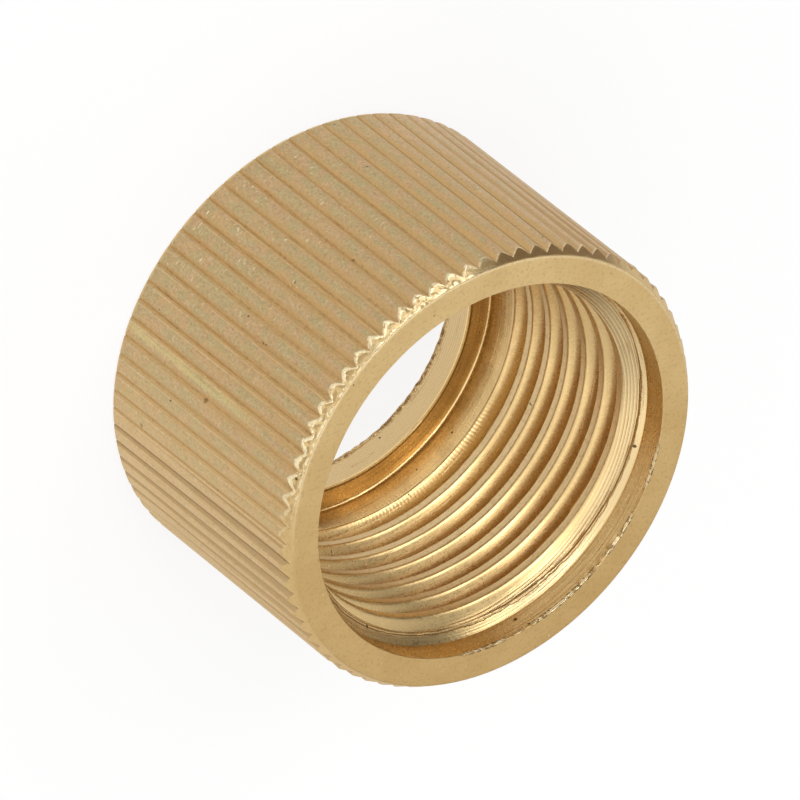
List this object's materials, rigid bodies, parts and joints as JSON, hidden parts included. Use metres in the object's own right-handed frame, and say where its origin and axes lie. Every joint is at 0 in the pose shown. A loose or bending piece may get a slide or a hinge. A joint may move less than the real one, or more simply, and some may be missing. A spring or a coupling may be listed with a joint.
{
  "type": "knurled thumb nut",
  "caption": "Round brass thumb nut with a straight-knurled outside, a plain recessed mouth, an internal thread and an inner shoulder with a smaller through hole.",
  "frame": {"origin": "centre of the flat back face, at the bottom of the nut", "axes": "+Z along the nut's axis, out of the threaded mouth"},
  "size_m": [0.024, 0.024, 0.0149],
  "materials": {
    "brass": "satin, lightly blasted outside and as turned inside"
  },
  "bodies": {
    "root": {"thumb_nut": "brass"}
  },
  "joints": []
}
